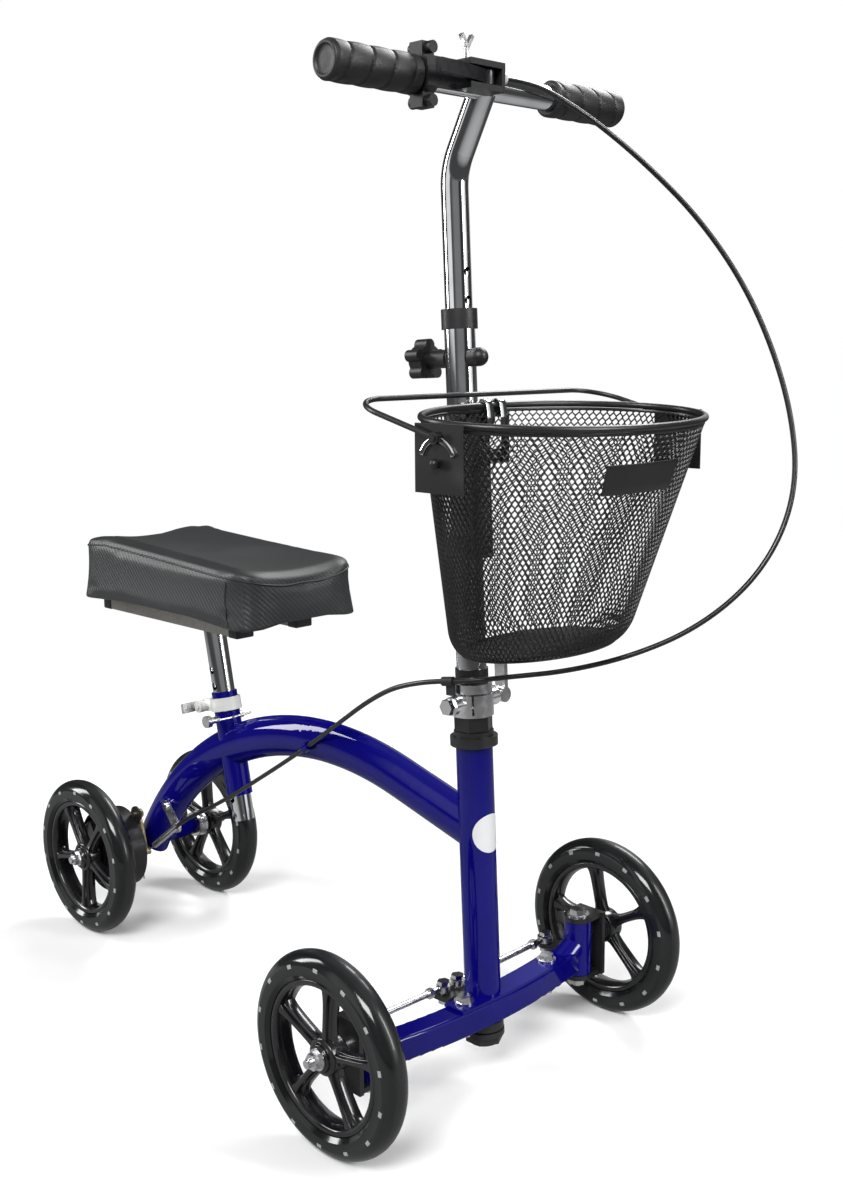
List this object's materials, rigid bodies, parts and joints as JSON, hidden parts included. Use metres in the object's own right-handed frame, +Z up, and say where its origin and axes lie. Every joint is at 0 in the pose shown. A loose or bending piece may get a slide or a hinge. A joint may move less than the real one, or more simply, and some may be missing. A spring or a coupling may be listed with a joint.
{
  "type": "knee scooter",
  "caption": "Steerable knee scooter: arched tube frame, padded knee rest on a sliding post, folding column with T bar, wire basket, drum brake and linked front wheels.",
  "frame": {"origin": "on the ground, under the middle of the scooter's length and width", "axes": "+X forward in travel, +Y to the rider's left, +Z up"},
  "size_m": [0.8748, 0.4573, 0.969],
  "materials": {
    "frame_paint": "gloss",
    "chrome": "polished",
    "zinc": "satin",
    "yellow_zinc": "satin",
    "black_metal": "satin",
    "dark_metal": "satin",
    "tyre": "gloss",
    "rim": "gloss",
    "black_plastic": "satin",
    "white_plastic": "gloss",
    "grip": "matte",
    "vinyl": "satin",
    "wood": "raw",
    "mesh": "satin",
    "cable": "gloss"
  },
  "bodies": {
    "frame": {"arch_tube": "frame_paint", "head_tube": "frame_paint", "seat_tube": "frame_paint", "front_beam": "frame_paint", "foot_plate": "dark_metal", "beam_bolts": "zinc", "rear_axle": "zinc", "headset_cups": "black_metal", "seat_clamp": "white_plastic", "brake_cover": "black_metal", "cable_stop": "zinc", "brake_spring": "zinc", "brake_cable_rear": "cable"},
    "steerer": {"steerer_tube": "black_metal", "steerer_nuts": "black_metal", "fold_socket": "chrome", "pitman_arm": "black_metal", "steerer_bolts": "zinc", "cable_clip": "black_plastic"},
    "fold_lever": {"fold_lever": "chrome"},
    "column": {"column_tube": "chrome", "fold_knuckle": "chrome", "column_bands": "black_plastic", "height_bolt": "black_plastic", "basket_bracket": "black_metal", "brake_cable_upper": "cable"},
    "height_knob": {"height_knob": "black_plastic"},
    "stem": {"stem_tube": "chrome", "handlebar": "chrome", "grip_right": "grip", "grip_left": "grip", "lever_bracket": "black_metal", "cable_barrel": "white_plastic"},
    "brake_lever": {"brake_lever": "dark_metal"},
    "lock_screw": {"lock_screw": "zinc"},
    "basket": {"basket_shell": "mesh", "basket_rim": "mesh", "basket_fittings": "black_metal"},
    "bail": {"basket_bail": "mesh"},
    "knuckle_right": {"knuckle_right": "black_metal", "front_hardware_right": "zinc"},
    "knuckle_left": {"knuckle_left": "black_metal", "front_hardware_left": "zinc"},
    "tie_rod_right": {"tie_rod_right": "dark_metal"},
    "tie_rod_left": {"tie_rod_left": "dark_metal"},
    "seat": {"seat_post": "chrome", "seat_rails": "dark_metal", "seat_board": "wood", "knee_pad": "vinyl"},
    "seat_lever": {"seat_lever": "black_metal"},
    "seat_pin": {"seat_pin": "zinc"},
    "brake_arm": {"brake_arm": "yellow_zinc"},
    "wheel_front_right": {"tyre_front_right": "tyre", "rim_front_right": "rim"},
    "wheel_front_left": {"tyre_front_left": "tyre", "rim_front_left": "rim"},
    "wheel_rear_right": {"tyre_rear_right": "tyre", "rim_rear_right": "rim"},
    "wheel_rear_left": {"tyre_rear_left": "tyre", "rim_rear_left": "rim"}
  },
  "joints": [
    {"name": "steering", "type": "hinge", "parent": "frame", "child": "steerer", "pos_m": [0.24, 0, 0.078], "axis": [-0.0457, 0, 0.999], "range_deg": [-30, 30], "deforming": ["brake_cable_upper", "brake_cable_rear"]},
    {"name": "column_fold", "type": "hinge", "parent": "steerer", "child": "column", "pos_m": [0.22621, 0, 0.37969], "axis": [0, 1, 0], "range_deg": [-55, 0], "deforming": ["brake_cable_upper"]},
    {"name": "fold_lever_turn", "type": "hinge", "parent": "steerer", "child": "fold_lever", "pos_m": [0.22621, 0.038, 0.37969], "axis": [-0.999, 0, -0.0457], "range_deg": [0, 110]},
    {"name": "stem_height", "type": "slide", "parent": "column", "child": "stem", "axis": [-0.0457, 0, 0.999], "range_m": [-0.0762, 0.0762], "deforming": ["brake_cable_upper"]},
    {"name": "height_knob_turn", "type": "hinge", "parent": "column", "child": "height_knob", "pos_m": [0.21151, 0, 0.70135], "axis": [0.999, 0, 0.0457], "continuous": true},
    {"name": "brake_lever_pull", "type": "hinge", "parent": "stem", "child": "brake_lever", "pos_m": [0.263, -0.02, 0.936], "axis": [0, 0, -1], "range_deg": [0, 12], "stiffness_Nm_per_rad": 1, "springref_deg": -5.73},
    {"name": "lock_screw_press", "type": "slide", "parent": "stem", "child": "lock_screw", "axis": [0, 0, 1], "range_m": [-0.004, 0]},
    {"name": "brake_arm_pull", "type": "hinge", "parent": "frame", "child": "brake_arm", "pos_m": [-0.314, 0, 0.143], "axis": [0, -1, 0], "range_deg": [0, 8], "deforming": ["brake_cable_rear", "brake_spring"]},
    {"name": "basket_lift", "type": "slide", "parent": "column", "child": "basket", "axis": [-0.0457, 0, 0.999], "range_m": [0, 0.02]},
    {"name": "bail_swing", "type": "hinge", "parent": "basket", "child": "bail", "pos_m": [0.341, 0, 0.642], "axis": [0, 1, 0], "range_deg": [0, 100]},
    {"name": "knuckle_right_turn", "type": "hinge", "parent": "frame", "child": "knuckle_right", "pos_m": [0.2364, -0.15, 0.09], "axis": [0, 0, 1], "range_deg": [-31, 31]},
    {"name": "knuckle_left_turn", "type": "hinge", "parent": "frame", "child": "knuckle_left", "pos_m": [0.2364, 0.15, 0.09], "axis": [0, 0, 1], "range_deg": [-31, 31]},
    {"name": "tie_rod_right_turn", "type": "hinge", "parent": "steerer", "child": "tie_rod_right", "pos_m": [0.19505, -0.01, 0.07595], "axis": [-0.0457, 0, 0.999], "range_deg": [-33, 33]},
    {"name": "tie_rod_left_turn", "type": "hinge", "parent": "steerer", "child": "tie_rod_left", "pos_m": [0.19505, 0.01, 0.07595], "axis": [-0.0457, 0, 0.999], "range_deg": [-33, 33]},
    {"name": "seat_height", "type": "slide", "parent": "frame", "child": "seat", "axis": [-0.1999, 0, 0.9798], "range_m": [-0.05715, 0.05715]},
    {"name": "seat_lever_turn", "type": "hinge", "parent": "frame", "child": "seat_lever", "pos_m": [-0.16978, 0.017, 0.1651], "axis": [0.1999, 0, -0.9798], "range_deg": [0, 110]},
    {"name": "seat_pin_pull", "type": "slide", "parent": "frame", "child": "seat_pin", "axis": [0, -1, 0], "range_m": [0, 0.045]},
    {"name": "wheel_front_right_spin", "type": "hinge", "parent": "knuckle_right", "child": "wheel_front_right", "pos_m": [0.2364, -0.1955, 0.095], "axis": [0, 1, 0], "continuous": true},
    {"name": "wheel_front_left_spin", "type": "hinge", "parent": "knuckle_left", "child": "wheel_front_left", "pos_m": [0.2364, 0.1955, 0.095], "axis": [0, 1, 0], "continuous": true},
    {"name": "wheel_rear_right_spin", "type": "hinge", "parent": "frame", "child": "wheel_rear_right", "pos_m": [-0.345, -0.091, 0.095], "axis": [0, 1, 0], "continuous": true},
    {"name": "wheel_rear_left_spin", "type": "hinge", "parent": "frame", "child": "wheel_rear_left", "pos_m": [-0.345, 0.091, 0.095], "axis": [0, 1, 0], "continuous": true}
  ],
  "couplings": [
    {"joint": "knuckle_right_turn", "follows": "steering", "ratio": 1},
    {"joint": "knuckle_left_turn", "follows": "steering", "ratio": 1},
    {"joint": "tie_rod_right_turn", "follows": "steering", "ratio": -1.067},
    {"joint": "tie_rod_left_turn", "follows": "steering", "ratio": -1.067},
    {"joint": "brake_arm_pull", "follows": "brake_lever_pull", "ratio": 0.6667}
  ]
}
